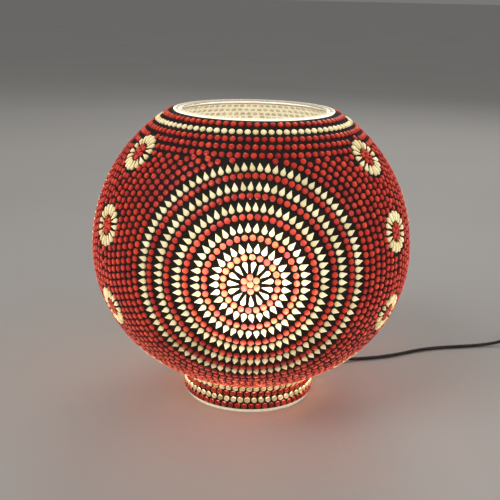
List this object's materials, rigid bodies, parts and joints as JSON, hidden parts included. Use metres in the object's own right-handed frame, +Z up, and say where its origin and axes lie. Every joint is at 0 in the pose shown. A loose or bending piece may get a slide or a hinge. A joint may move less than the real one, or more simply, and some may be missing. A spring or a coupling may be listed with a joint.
{
  "type": "table lamp",
  "caption": "Round table lamp: a blown glass globe on a short foot, covered in red and cream mosaic tiles, with a lampholder, round bulb and switched flex.",
  "frame": {"origin": "centre of the foot's underside, on the surface it stands on", "axes": "+Z up along the lamp's axis, front medallion towards -Y"},
  "size_m": [0.4983, 0.4119, 0.254],
  "materials": {
    "clear_glass": "clear, fire-polished",
    "black_grout": "matt cement grout",
    "red_tile_glass": "cut cathedral glass, lit from behind",
    "cream_tile_glass": "cut opal glass, lit from behind",
    "opal_glass": "opal, lit",
    "filament": "phosphor-coated LED filament",
    "zinc_steel": "bright zinc",
    "brass": "stamped",
    "nickel_cap": "nickel plated",
    "black_rubber": "matt",
    "white_plastic": "moulded",
    "white_ceramic": "unglazed steatite",
    "black_insulator": "vitrified",
    "cord_sheath": "PVC, satin",
    "tie_fabric": "hook-and-loop tape",
    "black_plastic": "moulded, fine grain",
    "rocker_plastic": "polished"
  },
  "bodies": {
    "lamp": {"glass_globe": "clear_glass", "grout_skin": "black_grout", "red_round_tiles": "red_tile_glass", "cream_round_tiles": "cream_tile_glass", "cream_drop_tiles": "cream_tile_glass", "cream_petal_tiles": "cream_tile_glass", "threaded_stem": "zinc_steel", "upper_seal": "black_rubber", "lower_seal": "black_rubber", "upper_washer": "zinc_steel", "lower_washer": "zinc_steel", "lower_nut": "zinc_steel", "upper_nut": "zinc_steel", "holder_cap": "white_plastic", "holder_barrel": "white_plastic", "holder_core": "white_ceramic", "terminal_screws": "brass", "centre_contact": "brass", "screw_shell": "brass", "lead_ends": "cord_sheath", "cord_relief": "black_rubber", "foot_cord": "cord_sheath", "supply_cord": "cord_sheath", "switch_cord": "cord_sheath", "plug_cord": "cord_sheath", "cord_coil": "cord_sheath", "cord_tie": "tie_fabric", "switch_base": "black_plastic", "switch_cover": "black_plastic", "switch_screws": "zinc_steel", "switch_contacts": "brass", "plug_body": "black_plastic", "plug_neck": "black_rubber", "plug_pins": "nickel_cap"},
    "bulb": {"bulb_contact": "zinc_steel", "bulb_insulator": "black_insulator", "bulb_cap": "nickel_cap", "bulb_glass": "opal_glass", "bulb_stem": "clear_glass", "bulb_filaments": "filament"},
    "rocker": {"switch_rocker": "rocker_plastic"}
  },
  "joints": [
    {"name": "bulb_lift", "type": "slide", "parent": "lamp", "child": "bulb", "axis": [0, 0, 1], "range_m": [0, 0.215]},
    {"name": "switch_rock", "type": "hinge", "parent": "lamp", "child": "rocker", "pos_m": [0.305, 0.114, 0.012], "axis": [0, 1, 0], "range_deg": [0, 14]}
  ]
}
